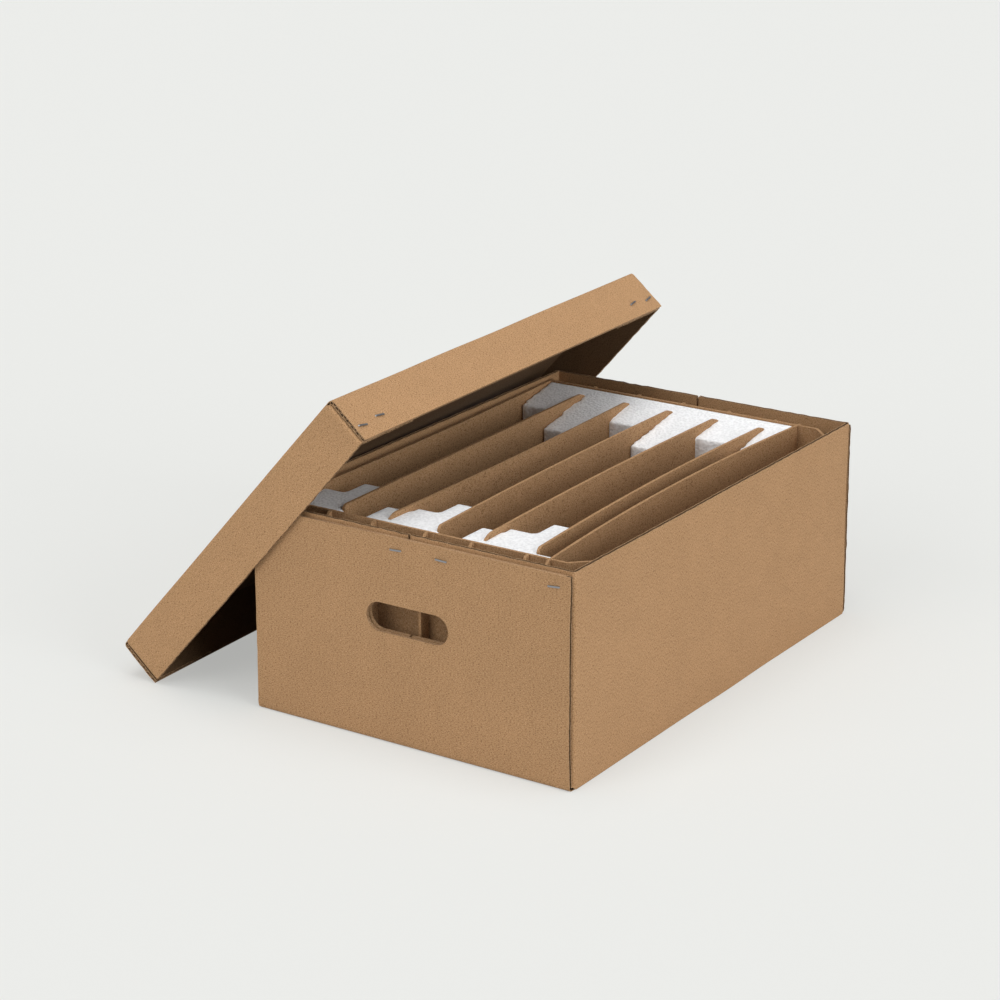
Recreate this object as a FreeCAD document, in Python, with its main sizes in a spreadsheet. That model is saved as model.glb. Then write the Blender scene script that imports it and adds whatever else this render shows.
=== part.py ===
import FreeCAD, Part
import math
import os
from types import SimpleNamespace

import Sketcher

# A shipping box for bottles, in millimetres.
# The open tray stands on the floor, its egg-crate partition and foam combs are inside,
# and the tray's lid leans on the left wall with its lower rim on the floor.
# Every piece is drawn from the tray's front left corner: X to the right, Y to the back, Z up.
# The finished pieces are then moved so that the origin is the centre of the tray's bottom.

SIZES = {
    # The folded tray, outside
    "box_width": 372.0,
    "box_length": 565.0,
    "box_height": 217.5,
    "board": 4.0,
    "ply_gap": 0.4,
    "crease": 0.3,
    "end_drop": 4.0,
    "end_inset": 4.5,
    "flap_parting": 3.0,
    "floor_curb": 17.2,
    "hand_hole_length": 95.5,
    "hand_hole_height": 30.0,
    "hand_hole_level": 129.7,
    # The lid, outside, and how it leans
    "lid_length": 587.0,
    "lid_width": 406.0,
    "rim_depth": 52.0,
    "rim_flap": 92.0,
    "rim_drop": 0.0,
    "rim_inset": 4.5,
    "lid_tilt": 48.9,
    "lid_yaw": 1.65,
    "lid_overhang": 7.1,
    "lid_clear": 0.3,
    # The partition
    "sheet": 3.0,
    "partition_drop": 4.0,
    "lap_height": 102.0,
    "lap_clear": 0.3,
    "slot_clear": 0.5,
    "panel_gap": 31.0,
    "panel_side_gap": 1.5,
    "flange_reach": 21.0,
    "flange_angle": 45.0,
    "flange_clear": 0.3,
    "ear": 15.0,
    "ear_run": 11.0,
    "ear_fall": 12.0,
    "shoulder_run": 15.0,
    "shoulder_fall": 6.0,
    "blunt_run": 5.0,
    "blunt_fall": 3.5,
    "left_margin": 10.0,
    "right_margin": 45.5,
    "last_pitch": 29.0,
    "partition_skew": 2.5,
    "even_shift": 4.5,
    "bow_one": 6.0,
    "bow_two": 0.5,
    "bow_three": 5.0,
    "bow_four": -5.0,
    "bow_five": -6.5,
    "bow_six": -9.5,
    "bow_seven": -13.0,
    # The foam combs
    "foam_bar": 16.0,
    "foam_clear": 0.6,
    "neck_width": 26.0,
    "deep_shoulder": 131.0,
    "deep_neck": 96.5,
    "near_shoulder": 85.0,
    "neck_recess": 40.0,
    "short_base": 101.0,
    "long_base": 144.0,
    "front_foam_drop": 9.0,
    "back_foam_drop": 4.5,
    "foam_slope": 9.0,
    # The staples
    "staple_crown": 13.5,
    "staple_wire": 0.9,
    "staple_width": 1.6,
    "staple_bend": 1.2,
    "staple_foot": 4.8,
    "staple_drop": 16.4,
    "staple_side": 20.5,
    "staple_left_of_middle": 13.0,
    "staple_right_of_middle": 39.5,
    "lid_staple_edge": 14.5,
    "lid_staple_deep": 17.0,
    "lid_staple_end": 14.0,
    "lid_staple_inner": 45.0,
}

BOWS = ["bow_one", "bow_two", "bow_three", "bow_four", "bow_five", "bow_six", "bow_seven"]
LAST = len(BOWS) - 1
OVERSHOOT = 1.0
STAPLE_TILTS = [4.0, -3.0, 2.0, -5.0]
LID_STAPLE_TILTS = [10.0, 8.0]
SHEET_NAME = "Dimensions"


class Size:
    """A length or an angle that knows its value and its formula on the sheet."""

    def __init__(self, value, formula):
        self.value = value
        self.formula = formula

    def __add__(self, other):
        other = as_size(other)
        return Size(self.value + other.value, f"({self.formula} + {other.formula})")

    def __sub__(self, other):
        other = as_size(other)
        return Size(self.value - other.value, f"({self.formula} - {other.formula})")

    def __rsub__(self, other):
        return as_size(other) - self

    def __mul__(self, other):
        other = as_size(other)
        return Size(self.value * other.value, f"({self.formula} * {other.formula})")

    def __rmul__(self, other):
        return as_size(other) * self

    def __truediv__(self, other):
        other = as_size(other)
        return Size(self.value / other.value, f"({self.formula} / {other.formula})")

    def __neg__(self):
        return Size(-self.value, f"(0 - {self.formula})")


def as_size(number):
    """Plain numbers may stand in a sum of sizes."""
    return number if isinstance(number, Size) else Size(float(number), f"({number})")


def sine(angle):
    return Size(math.sin(math.radians(angle.value)), f"sin({angle.formula})")


def cosine(angle):
    return Size(math.cos(math.radians(angle.value)), f"cos({angle.formula})")


def tangent(angle):
    return Size(math.tan(math.radians(angle.value)), f"tan({angle.formula})")


def absolute(size):
    return Size(abs(size.value), f"abs({size.formula})")


def driving_sheet(doc):
    """Write every driving dimension to the sheet under its own alias."""
    sheet = doc.addObject("Spreadsheet::Sheet", SHEET_NAME)
    for row, (name, value) in enumerate(SIZES.items(), start=1):
        sheet.set(f"A{row}", name)
        sheet.set(f"B{row}", str(value))
        sheet.setAlias(f"B{row}", name)
    doc.recompute()
    return SimpleNamespace(**{name: Size(sheet.get(name), f"{SHEET_NAME}.{name}") for name in SIZES})


doc = FreeCAD.newDocument("BottleShippingBox")
d = driving_sheet(doc)
ZERO = as_size(0)
fold_radius = d.board + d.crease


# Sketches

PLANE_SIGN = {"XY_Plane": 1, "XZ_Plane": -1, "YZ_Plane": 1}


def new_body(name):
    return doc.addObject("PartDesign::Body", name)


def centre(piece):
    """Move a finished piece from the tray's corner to the middle of its bottom."""
    piece.setExpression("Placement.Base.x", (ZERO - d.box_width / 2).formula)
    piece.setExpression("Placement.Base.y", (ZERO - d.box_length / 2).formula)
    return piece


def sketch_on(body, plane, name, offset=ZERO):
    """A sketch on one of the body's origin planes, moved along the row axis by offset."""
    support = next(item for item in body.Origin.OriginFeatures if item.Role == plane)
    sketch = body.newObject("Sketcher::SketchObject", name)
    sketch.AttachmentSupport = [(support, "")]
    sketch.MapMode = "FlatFace"
    level = offset * PLANE_SIGN[plane]
    sketch.AttachmentOffset.Base.z = level.value
    sketch.setExpression("AttachmentOffset.Base.z", level.formula)
    return sketch


def arc_between(start, end, radius):
    """The short arc from start to end; a positive radius keeps its centre on the left."""
    chord = end - start
    middle = (start + end) * 0.5
    left = FreeCAD.Vector(-chord.y, chord.x, 0).normalize()
    rise = math.sqrt(max(radius ** 2 - (chord.Length / 2) ** 2, 0.0))
    middle_of_circle = middle + left * math.copysign(rise, radius)
    first, last = (start, end) if radius > 0 else (end, start)
    angles = [math.atan2((p - middle_of_circle).y, (p - middle_of_circle).x) for p in (first, last)]
    circle = Part.Circle(middle_of_circle, FreeCAD.Vector(0, 0, 1), abs(radius))
    return Part.ArcOfCircle(circle, angles[0], angles[1])


def add_outline(sketch, corners):
    """Add a closed outline. A corner is (x, y) or (x, y, radius), where the radius makes
    the edge that leaves the corner an arc. Every corner is tied to the sheet."""
    points = [FreeCAD.Vector(corner[0].value, corner[1].value, 0) for corner in corners]
    edges = []
    for index, corner in enumerate(corners):
        start, end = points[index], points[(index + 1) % len(points)]
        if len(corner) == 3:
            geometry = arc_between(start, end, corner[2].value)
            ends = (1, 2) if corner[2].value > 0 else (2, 1)
        else:
            geometry = Part.LineSegment(start, end)
            ends = (1, 2)
        edges.append((sketch.addGeometry(geometry, False), ends))
    for index, corner in enumerate(corners):
        edge, (start, end) = edges[index]
        after, (after_start, _) = edges[(index + 1) % len(edges)]
        sketch.addConstraint(Sketcher.Constraint("Coincident", edge, end, after, after_start))
        for kind, place in (("DistanceX", corner[0]), ("DistanceY", corner[1])):
            number = sketch.addConstraint(Sketcher.Constraint(kind, -1, 1, edge, start, place.value))
            sketch.setExpression(f"Constraints[{number}]", place.formula)
        if len(corner) == 3:
            radius = corner[2] if corner[2].value > 0 else -corner[2]
            number = sketch.addConstraint(Sketcher.Constraint("Radius", edge, radius.value))
            sketch.setExpression(f"Constraints[{number}]", radius.formula)
    return sketch


def rectangle(x0, y0, x1, y1):
    return [(x0, y0), (x1, y0), (x1, y1), (x0, y1)]


def pad(body, sketch, name, length):
    """Raise a sketch along the positive row axis."""
    plane = sketch.AttachmentSupport[0][0].Role
    feature = body.newObject("PartDesign::Pad", name)
    feature.Profile = sketch
    feature.Length = length.value
    feature.setExpression("Length", length.formula)
    feature.Reversed = PLANE_SIGN[plane] < 0
    doc.recompute()
    return feature


def pocket(body, sketch, name):
    """Cut a sketch right through the body, and make sure that it removed something."""
    before = body.Shape.Volume
    feature = body.newObject("PartDesign::Pocket", name)
    feature.Profile = sketch
    feature.Type = "ThroughAll"
    feature.Midplane = True
    doc.recompute()
    if body.Shape.Volume >= before:
        raise RuntimeError(f"{name} cuts nothing")
    return feature


# Folded trays

def folded_profile(span, height, board, radius):
    """The section of a board folded up at both sides of a floor."""
    inner = radius - board
    return [
        (ZERO, height),
        (ZERO, radius, radius),
        (radius, ZERO),
        (span - radius, ZERO, radius),
        (span, radius),
        (span, height),
        (span - board, height),
        (span - board, radius, -inner),
        (span - radius, board),
        (radius, board, -inner),
        (board, radius),
        (board, height),
    ]


def flapped_wall(start, end, board, radius, flap, side):
    """A wall seen from above, with a flap folded in at each end. The side gives the way
    from the outer face to the middle: the wall's outer face is at side(0)."""
    inner = radius - board
    turn = 1 if side(as_size(1)).value > side(ZERO).value else -1
    outer_turn = radius * -turn
    inner_turn = inner * turn
    return [
        (side(radius), start, outer_turn),
        (side(ZERO), start + radius),
        (side(ZERO), end - radius, outer_turn),
        (side(radius), end),
        (side(flap), end),
        (side(flap), end - board),
        (side(radius), end - board, inner_turn),
        (side(board), end - radius),
        (side(board), start + radius, inner_turn),
        (side(radius), start + board),
        (side(flap), start + board),
        (side(flap), start),
    ]


def folded_tray(name, span, reach, height, flap, drop, inset):
    """One sheet folded to a tray. Its two walls at x = 0 and x = span carry flaps, which
    lie behind the end panels at y = 0 and y = reach."""
    body = new_body(name)
    behind = d.board + d.ply_gap
    lift = fold_radius
    low_walls = folded_profile(span, d.floor_curb, d.board, fold_radius)
    floor = add_outline(sketch_on(body, "XZ_Plane", name + "_floor_section", behind + lift), low_walls)
    pad(body, floor, name + "_floor", reach - (behind + lift) * 2)
    walls = sketch_on(body, "XY_Plane", name + "_walls_plan", lift)
    start, end = behind, reach - behind
    add_outline(walls, flapped_wall(start, end, d.board, fold_radius, flap, lambda x: x))
    add_outline(walls, flapped_wall(start, end, d.board, fold_radius, flap, lambda x: span - x))
    pad(body, walls, name + "_walls", height - lift)
    ends = add_outline(
        sketch_on(body, "YZ_Plane", name + "_ends_section", inset),
        folded_profile(reach, height - drop, d.board, fold_radius))
    pad(body, ends, name + "_ends", span - inset * 2)
    return body


def hand_hole_outline():
    """A slot with round ends in the middle of the end panel."""
    middle = d.box_width / 2
    radius = d.hand_hole_height / 2
    left = middle - d.hand_hole_length / 2 + radius
    right = middle + d.hand_hole_length / 2 - radius
    low = d.hand_hole_level - radius
    high = d.hand_hole_level + radius
    tip_left, tip_right = left - radius, right + radius
    level = d.hand_hole_level
    return [
        (left, low), (right, low, radius), (tip_right, level, radius), (right, high),
        (left, high, radius), (tip_left, level, radius),
    ]


# Staples

def staple_body():
    """One wire staple: a crown outside, two legs through both plies, feet turned in."""
    body = new_body("staple")
    half = d.staple_crown / 2
    wire, bend = d.staple_wire, d.staple_bend
    inner_face = d.board * 2 + d.ply_gap
    back = inner_face + wire
    outline = [
        (ZERO - half + bend, ZERO - wire), (half - bend, ZERO - wire, bend),
        (half, bend - wire), (half, back),
        (half - d.staple_foot, back), (half - d.staple_foot, inner_face),
        (half - wire, inner_face), (half - wire, ZERO),
        (ZERO - half + wire, ZERO), (ZERO - half + wire, inner_face),
        (ZERO - half + d.staple_foot, inner_face), (ZERO - half + d.staple_foot, back),
        (ZERO - half, back), (ZERO - half, bend - wire, bend),
    ]
    sketch = add_outline(sketch_on(body, "XY_Plane", "staple_plan", ZERO - d.staple_width / 2), outline)
    pad(body, sketch, "staple_wire_width", d.staple_width)
    return body


def staple_group(name, placements):
    """The same staple at several places, as separate solids of one group."""
    links = []
    for index, placement in enumerate(placements, start=1):
        link = doc.addObject("App::Link", f"{name}_{index}")
        link.LinkedObject = staple
        link.Placement = placement
        links.append(link)
    group = doc.addObject("Part::Compound", name)
    group.Links = links
    doc.recompute()
    return group


def tray_staple_places(back):
    """Four staples in a row under the rim of one end panel."""
    middle = d.box_width / 2
    xs = [d.staple_side, middle - d.staple_left_of_middle,
          middle + d.staple_right_of_middle, d.box_width - d.staple_side]
    level = d.box_height - d.staple_drop
    places = []
    for x, tilt in zip(xs, STAPLE_TILTS):
        turn = FreeCAD.Rotation(FreeCAD.Vector(0, 1, 0), tilt)
        y = ZERO
        if back:
            turn = FreeCAD.Rotation(FreeCAD.Vector(0, 0, 1), 180) * turn
            y = d.box_length
        places.append(FreeCAD.Placement(FreeCAD.Vector(x.value, y.value, level.value), turn))
    return places


def lid_staple_places():
    """Two staples near each corner of the lid's long rims, in the lid's own frame."""
    places = []
    spots = [(d.lid_staple_end, d.lid_staple_edge), (d.lid_staple_inner, d.lid_staple_deep)]
    for far_rim in (False, True):
        for far_end in (False, True):
            for (along, from_edge), tilt in zip(spots, LID_STAPLE_TILTS):
                x = d.lid_length - along if far_end else along
                y = d.lid_width if far_rim else ZERO
                level = d.rim_depth - from_edge
                lean = -tilt if far_end else tilt
                turn = FreeCAD.Rotation(FreeCAD.Vector(0, 1, 0), lean)
                if far_rim:
                    turn = FreeCAD.Rotation(FreeCAD.Vector(0, 0, 1), 180) * turn
                places.append(FreeCAD.Placement(FreeCAD.Vector(x.value, y.value, level.value), turn))
    return places


def cut(name, base, tool):
    """Take a tool's shape out of a base."""
    result = doc.addObject("Part::Cut", name)
    result.Base = base
    result.Tool = tool
    doc.recompute()
    return result


def lid_placement():
    """The lid leans on the left wall's top edge, with its lower rim on the floor.
    Its own X runs along the length, Y up the slope and Z out of its open side."""
    tilt = math.radians(d.lid_tilt.value)
    height = (d.rim_depth * cosine(d.lid_tilt)).value
    reach = (d.board + d.lid_clear + (d.box_height - d.rim_depth * cosine(d.lid_tilt))
             * cosine(d.lid_tilt)) / sine(d.lid_tilt)
    up_slope = FreeCAD.Vector(math.cos(tilt), 0, math.sin(tilt))
    outward = FreeCAD.Vector(math.sin(tilt), 0, -math.cos(tilt))
    lean = FreeCAD.Rotation(FreeCAD.Vector(0, 1, 0), up_slope, outward, "ZXY")
    yaw = FreeCAD.Rotation(FreeCAD.Vector(0, 0, 1), d.lid_yaw.value)
    corner = yaw.multVec(FreeCAD.Vector(-reach.value, -d.lid_overhang.value, height))
    middle = FreeCAD.Vector(-d.box_width.value / 2, -d.box_length.value / 2, 0)
    return FreeCAD.Placement(corner + middle, yaw * lean)


# The partition

partition_top = d.box_height - d.partition_drop
lap_level = d.board + d.lap_height
divider_start = d.panel_gap - d.ear
divider_end = d.box_length - divider_start
foam_start = d.panel_gap + d.sheet + d.foam_clear
foam_bar_end = foam_start + d.foam_bar
divider_pitch = (d.box_width - d.left_margin - d.right_margin - d.last_pitch) / (LAST - 1)


def is_even(number):
    """Whether this is the second, fourth or sixth divider. Numbers start from 0."""
    return number % 2 == 1


def divider_place(number, y):
    """The middle of a divider's sheet at the depth y: a skewed line with a bow."""
    x = d.left_margin + divider_pitch * min(number, LAST - 1)
    share = (y - divider_start) / (divider_end - divider_start)
    if number == LAST:
        x = x + d.last_pitch
    elif is_even(number):
        x = x + d.even_shift * (1 - share)
    bow = getattr(d, BOWS[number])
    return x + d.partition_skew * (1 - share * 2) + bow * share * (1 - share) * 4


def divider(number):
    """A bowed sheet that stands on the floor. Both of its ends are notched from the top
    for the end panel and the foam bar, and leave an ear behind the panel."""
    name = f"divider_{number + 1}"
    body = new_body(name)
    bow = getattr(d, BOWS[number])
    depth = divider_end - divider_start
    radius = depth * depth / (bow * 8) + bow / 2
    half = d.sheet / 2
    front, back = divider_place(number, divider_start), divider_place(number, divider_end)
    plan = [
        (front - half, divider_start), (front + half, divider_start, radius),
        (back + half, divider_end), (back - half, divider_end, -radius),
    ]
    sketch = add_outline(sketch_on(body, "XY_Plane", name + "_plan", d.board), plan)
    pad(body, sketch, name + "_sheet", partition_top - d.board)
    notches = sketch_on(body, "YZ_Plane", name + "_notches")
    for end in (front_end, back_end):
        add_outline(notches, divider_notch(number, end))
        add_outline(notches, ear_tip(end))
    pocket(body, notches, name + "_notch")
    return body


def front_end(y):
    return y


def back_end(y):
    return d.box_length - y


def divider_notch(number, end):
    """The notch for the end panel. The inner dividers' notches also take the foam bar, and
    have a rounded shoulder above it; the outer dividers lie beside the foam."""
    near = end(d.panel_gap - d.slot_clear)
    floor = lap_level - d.lap_clear / 2
    above = partition_top + OVERSHOOT
    if number in (0, LAST):
        return rectangle(near, floor, end(d.panel_gap + d.sheet + d.slot_clear), above)
    run, fall = d.shoulder_run, d.shoulder_fall
    if is_even(number) and end is front_end:
        run, fall = d.blunt_run, d.blunt_fall
    far = end(foam_bar_end + d.foam_clear)
    shoulder = end(foam_bar_end + d.foam_clear + run)
    round_off = (run * run + fall * fall) / (fall * 2)
    turn = -1 if shoulder.value > far.value else 1
    return [
        (near, floor), (far, floor), (far, partition_top - fall, round_off * turn),
        (shoulder, partition_top), (shoulder, above), (near, above),
    ]


def ear_tip(end):
    """The corner that is cut off the ear's outer edge."""
    outer, peak = end(divider_start), end(divider_start + d.ear_run)
    beyond = end(divider_start - OVERSHOOT)
    above = partition_top + OVERSHOOT
    return [
        (outer, partition_top - d.ear_fall), (peak, partition_top), (peak, above),
        (beyond, above), (beyond, partition_top - d.ear_fall),
    ]


def end_panel(name, end):
    """A sheet across the tray, slotted from below for the dividers, whose right end is
    folded inwards against the tray's wall."""
    body = new_body(name)
    outer = d.panel_gap
    inner = outer + d.sheet
    left = d.board + d.panel_side_gap
    wall = d.box_width - d.board - d.flange_clear
    fold = wall - d.flange_reach
    slant = outer + d.flange_reach * tangent(d.flange_angle)
    plan = [
        (left, end(outer)), (fold, end(outer)), (wall, end(slant)),
        (wall, end(slant + d.sheet / cosine(d.flange_angle))),
        (fold - d.sheet * tangent(d.flange_angle / 2), end(inner)), (left, end(inner)),
    ]
    sketch = add_outline(sketch_on(body, "XY_Plane", name + "_plan", d.board), plan)
    pad(body, sketch, name + "_sheet", partition_top - d.board)
    slots = sketch_on(body, "XZ_Plane", name + "_slots")
    half = d.sheet / 2 + d.slot_clear
    for number in range(len(BOWS)):
        middle = divider_place(number, end(outer + d.sheet / 2))
        add_outline(slots, rectangle(
            middle - half, d.board - OVERSHOOT, middle + half, lap_level + d.lap_clear / 2))
    pocket(body, slots, name + "_slot")
    return body


# The foam combs

def comb_plan(end, steps):
    """A comb seen from above: a bar between the outer dividers, with a block in each gap.
    A step gives how deep the block is at the left and at the right of its gap."""
    clear = d.sheet / 2 + d.foam_clear
    plan = [
        (divider_place(0, end(foam_start)) + clear, end(foam_start)),
        (divider_place(LAST, end(foam_start)) - clear, end(foam_start)),
    ]
    for number in reversed(range(LAST)):
        left_depth, right_depth = steps[number]
        if right_depth is not foam_bar_end or number == LAST - 1:
            plan.append((divider_place(number + 1, end(foam_bar_end)) - clear, end(foam_bar_end)))
        if right_depth is not foam_bar_end:
            plan.append((divider_place(number + 1, end(right_depth)) - clear, end(right_depth)))
        if left_depth is not right_depth:
            split = neck_side(number, end)
            plan += [(split, end(right_depth)), (split, end(left_depth))]
        if left_depth is not foam_bar_end:
            plan.append((divider_place(number, end(left_depth)) + clear, end(left_depth)))
        if left_depth is not foam_bar_end or number == 0:
            plan.append((divider_place(number, end(foam_bar_end)) + clear, end(foam_bar_end)))
    return plan


def neck_side(number, end):
    """The side of the neck space that starts at a divider."""
    return divider_place(number, end(foam_bar_end)) + d.sheet / 2 + d.foam_clear + d.neck_width


def foam_comb(name, end, steps, top):
    """A foam comb on the tray's floor, slotted from below where its bar crosses the dividers."""
    body = new_body(name)
    sketch = add_outline(sketch_on(body, "XY_Plane", name + "_plan", d.board), comb_plan(end, steps))
    pad(body, sketch, name + "_block", top - d.board)
    slots = sketch_on(body, "XZ_Plane", name + "_slots")
    for number in range(1, LAST):
        near = divider_place(number, end(foam_start))
        far = divider_place(number, end(foam_bar_end))
        half = d.sheet / 2 + d.foam_clear + absolute(far - near) / 2
        middle = (near + far) / 2
        add_outline(slots, rectangle(middle - half, d.board - OVERSHOOT, middle + half, lap_level))
    pocket(body, slots, name + "_slot")
    return body


def recess_bar(body, name, end, numbers, top):
    """Lower the bar where a neck lies over it."""
    recesses = sketch_on(body, "XZ_Plane", name + "_recesses")
    for number in numbers:
        divider_side = divider_place(number, end(foam_bar_end)) + d.sheet / 2
        add_outline(recesses, rectangle(
            divider_side, top - d.neck_recess, neck_side(number, end), top + OVERSHOOT))
    pocket(body, recesses, name + "_recess")
    return body


def slope_foam(body, name, end, deepest, top):
    """Cut the comb's top along a slope that falls towards the middle of the tray."""
    beyond = deepest + OVERSHOOT
    above = top + OVERSHOOT
    fall = (beyond - foam_start) * tangent(d.foam_slope)
    wedge = [(end(foam_start), top), (end(beyond), top - fall), (end(beyond), above),
             (end(foam_start), above)]
    pocket(body, add_outline(sketch_on(body, "YZ_Plane", name + "_fall"), wedge), name + "_slope")
    return body


# The pieces

staple = staple_body()

body_staples_front = staple_group("body_staples_front", tray_staple_places(back=False))
body_staples_back = staple_group("body_staples_back", tray_staple_places(back=True))
lid_staples = staple_group("lid_staples", lid_staple_places())

tray_flap = (d.box_width - d.flap_parting) / 2
tray = folded_tray("tray", d.box_width, d.box_length, d.box_height, tray_flap, d.end_drop, d.end_inset)
pocket(tray, add_outline(sketch_on(tray, "XZ_Plane", "hand_hole_outline"), hand_hole_outline()),
       "hand_holes")
box_body = cut("box_body", cut("tray_front_stapled", tray, body_staples_front), body_staples_back)

lid_sheet = folded_tray("lid_sheet", d.lid_length, d.lid_width, d.rim_depth, d.rim_flap,
                        d.rim_drop, d.rim_inset)
lid = cut("lid", lid_sheet, lid_staples)

deep_step = (d.deep_neck, d.deep_shoulder)
near_step = (foam_bar_end, d.near_shoulder)
bare_step = (foam_bar_end, foam_bar_end)
front_steps = [deep_step, near_step, deep_step, near_step, deep_step, bare_step]
front_top = d.box_height - d.front_foam_drop
foam_front = foam_comb("foam_front", front_end, front_steps, front_top)
recess_bar(foam_front, "foam_front", front_end, [1, 3], front_top)
short_step = (d.short_base, d.short_base)
long_step = (d.long_base, d.long_base)
back_top = d.box_height - d.back_foam_drop
foam_back = foam_comb("foam_back", back_end, [short_step, long_step] * 3, back_top)
slope_foam(foam_back, "foam_back", back_end, d.long_base, back_top)

inside = [foam_front, foam_back]
inside += [end_panel("end_panel_front", front_end), end_panel("end_panel_back", back_end)]
inside += [divider(number) for number in range(len(BOWS))]
for piece in [tray, body_staples_front, body_staples_back] + inside:
    centre(piece)
for piece in (lid_sheet, lid_staples):
    piece.Placement = lid_placement()

pieces = [box_body, body_staples_front, body_staples_back, lid, lid_staples] + inside


def check_and_write(pieces):
    """Stop on any failed object or bad shape, and otherwise write one file for each piece."""
    doc.recompute()
    for item in doc.Objects:
        if {"Invalid", "Error"} & set(item.State):
            raise RuntimeError(f"{item.Name} failed: {item.State}")
    for piece in pieces:
        piece.Label = piece.Name
        if piece.Shape.isNull() or not piece.Shape.isValid():
            raise RuntimeError(f"{piece.Name} has no valid shape")
    os.makedirs("parts", exist_ok=True)
    for piece in pieces:
        piece.Shape.exportStep(os.path.join("parts", f"{piece.Label}.step"))
        print(f"{piece.Label}: {len(piece.Shape.Solids)} solids, {piece.Shape.Volume / 1000:.1f} cm3")


check_and_write(pieces)
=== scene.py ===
# %% [markdown]
# # A bottle shipping box
# The real object is a corrugated tray with a cross-lapped partition, two foam combs and a loose lid.
# The frame holds every piece at its real size and place, so this script only dresses it.
# It could be finished with materials alone, but cut board shows its flutes, and that needs meshes.

# %% Load the frame
import math
import bpy
import bmesh
import numpy as np
from mathutils import Matrix, Vector


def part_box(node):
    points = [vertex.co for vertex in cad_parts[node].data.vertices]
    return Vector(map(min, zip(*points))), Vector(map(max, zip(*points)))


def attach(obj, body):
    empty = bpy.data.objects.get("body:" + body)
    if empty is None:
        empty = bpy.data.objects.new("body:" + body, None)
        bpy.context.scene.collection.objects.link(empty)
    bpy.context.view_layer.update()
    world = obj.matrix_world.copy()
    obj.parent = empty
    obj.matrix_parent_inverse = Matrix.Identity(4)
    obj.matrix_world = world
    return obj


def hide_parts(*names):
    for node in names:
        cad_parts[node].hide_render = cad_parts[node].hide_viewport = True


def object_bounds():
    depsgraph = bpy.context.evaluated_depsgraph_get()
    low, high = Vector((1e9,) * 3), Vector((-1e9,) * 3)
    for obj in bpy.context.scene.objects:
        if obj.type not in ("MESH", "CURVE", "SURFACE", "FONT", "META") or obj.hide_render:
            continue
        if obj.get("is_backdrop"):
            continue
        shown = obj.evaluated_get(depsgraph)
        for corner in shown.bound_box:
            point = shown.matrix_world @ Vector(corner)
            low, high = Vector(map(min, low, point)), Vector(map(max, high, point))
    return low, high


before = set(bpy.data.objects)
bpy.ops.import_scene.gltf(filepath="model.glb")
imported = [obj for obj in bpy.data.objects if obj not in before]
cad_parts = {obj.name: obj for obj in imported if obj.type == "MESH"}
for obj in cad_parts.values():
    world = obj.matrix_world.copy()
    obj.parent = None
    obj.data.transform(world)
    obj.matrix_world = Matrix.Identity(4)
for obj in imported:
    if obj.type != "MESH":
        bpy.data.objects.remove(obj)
cad_low, cad_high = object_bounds()
MM = 0.001
print("pieces in the frame:", len(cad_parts))

# %% [markdown]
# ## The camera
# The photograph was taken from the front right with a long lens. It looks down on the box, and yet
# upright edges stay nearly upright, as under a lens that is shifted down. A negative shift does that.
# The camera is placed first, because every later choice is compared with what it sees.

# %% Place the camera
CAMERA_AZIMUTH = math.radians(33.550)
CAMERA_ELEVATION = math.radians(15.700)
CAMERA_ROLL = math.radians(-0.030)
CAMERA_PLACE = Vector((1.4591, -2.3220, 1.1053))
CAMERA_LENS = 100.86
CAMERA_SHIFT = -0.15


def camera_axes(azimuth, elevation, roll):
    """The camera's right, up and back directions."""
    right = Vector((math.cos(azimuth), math.sin(azimuth), 0))
    back = Vector((math.sin(azimuth) * math.cos(elevation),
                   -math.cos(azimuth) * math.cos(elevation), math.sin(elevation)))
    up = back.cross(right)
    turned_right = right * math.cos(roll) + up * math.sin(roll)
    return turned_right, back.cross(turned_right), back


SENSOR = 36.0
FAR = 100.0
camera_data = bpy.data.cameras.new("camera")
camera_data.lens = CAMERA_LENS
camera_data.sensor_width = SENSOR
camera_data.shift_y = CAMERA_SHIFT
camera_data.clip_end = FAR
camera = bpy.data.objects.new("camera", camera_data)
bpy.context.scene.collection.objects.link(camera)
axes = camera_axes(CAMERA_AZIMUTH, CAMERA_ELEVATION, CAMERA_ROLL)
camera.matrix_world = Matrix.Translation(CAMERA_PLACE) @ Matrix(axes).transposed().to_4x4()
bpy.context.scene.camera = camera
bpy.context.scene.view_settings.view_transform = "Standard"
print("camera at", [round(v, 3) for v in CAMERA_PLACE])

# %% [markdown]
# ## Shader maths
# A finish is a sum of noises and waves. Node by node that is hard to read, so one small class
# wraps a node's output and lets Python's own operators add the Math nodes. A second class holds the
# node tree and adds every other node.

# %% Sockets with operators


class Wire:
    """A node's output that can stand in a Python expression."""

    def __init__(self, graph, output):
        self.graph = graph
        self.output = output

    def maths(self, operation, *values):
        return self.graph.node("ShaderNodeMath", {"operation": operation}, dict(enumerate(values)))

    def __add__(self, other):
        return self.maths("ADD", self, other)

    def __radd__(self, other):
        return self.maths("ADD", other, self)

    def __sub__(self, other):
        return self.maths("SUBTRACT", self, other)

    def __rsub__(self, other):
        return self.maths("SUBTRACT", other, self)

    def __mul__(self, other):
        return self.maths("MULTIPLY", self, other)

    def __rmul__(self, other):
        return self.maths("MULTIPLY", other, self)

    def sine(self):
        return self.maths("SINE", self)


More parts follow.
